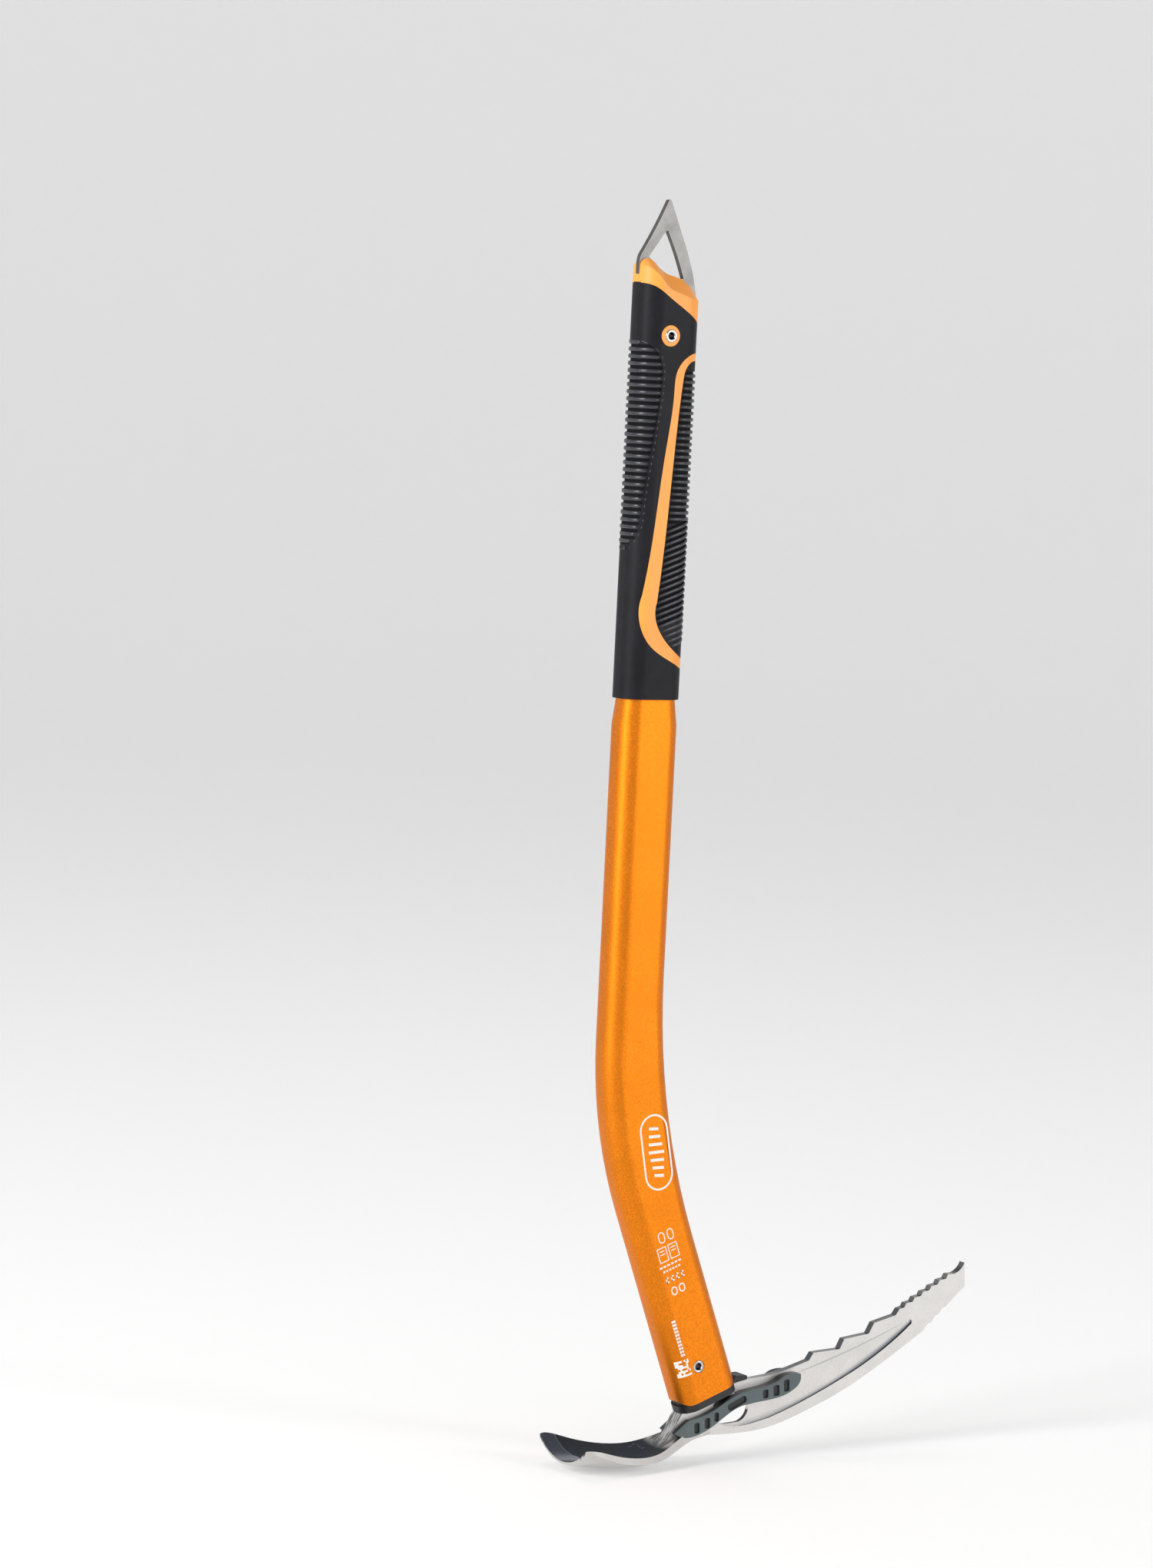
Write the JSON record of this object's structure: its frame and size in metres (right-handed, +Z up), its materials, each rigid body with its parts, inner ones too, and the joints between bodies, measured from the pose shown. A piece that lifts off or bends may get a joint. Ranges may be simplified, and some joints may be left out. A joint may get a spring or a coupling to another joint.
{
  "type": "ice axe",
  "caption": "Mountaineering ice axe with a bent alloy shaft, forged pick and adze, ribbed moulded grip and a flat spike with a clip-in eye.",
  "frame": {"origin": "middle of the clip-in eye in the spike, on the straight axis of the grip", "axes": "+Z up the grip's axis towards the tip of the spike, +X the way the pick points, +Y square to the plane of the head, so the shaft's flats face +Y and -Y"},
  "size_m": [0.2249, 0.0462, 0.5982],
  "materials": {
    "anodised_tube": "satin",
    "forged_steel": "satin",
    "spike_steel": "blasted",
    "rivet_steel": "polished",
    "insert_plastic": "matte",
    "trim_black": "matte",
    "trim_grey": "satin",
    "cap_orange": "satin",
    "grip_black": "matte",
    "grip_orange": "matte",
    "plug_plastic": "matte"
  },
  "bodies": {
    "root": {"shaft_tube": "anodised_tube", "head": "forged_steel", "head_insert": "insert_plastic", "head_rivet": "rivet_steel", "trim_base_left": "trim_black", "trim_base_right": "trim_black", "trim_face_left": "trim_grey", "trim_face_right": "trim_grey", "spike": "spike_steel", "spike_plug": "plug_plastic", "spike_cap": "cap_orange", "spike_rivet": "rivet_steel", "rivet_seat_left": "grip_orange", "rivet_seat_right": "grip_orange", "grip_core": "grip_orange", "grip_sleeve": "grip_black", "grip_panel": "grip_black"}
  },
  "joints": []
}
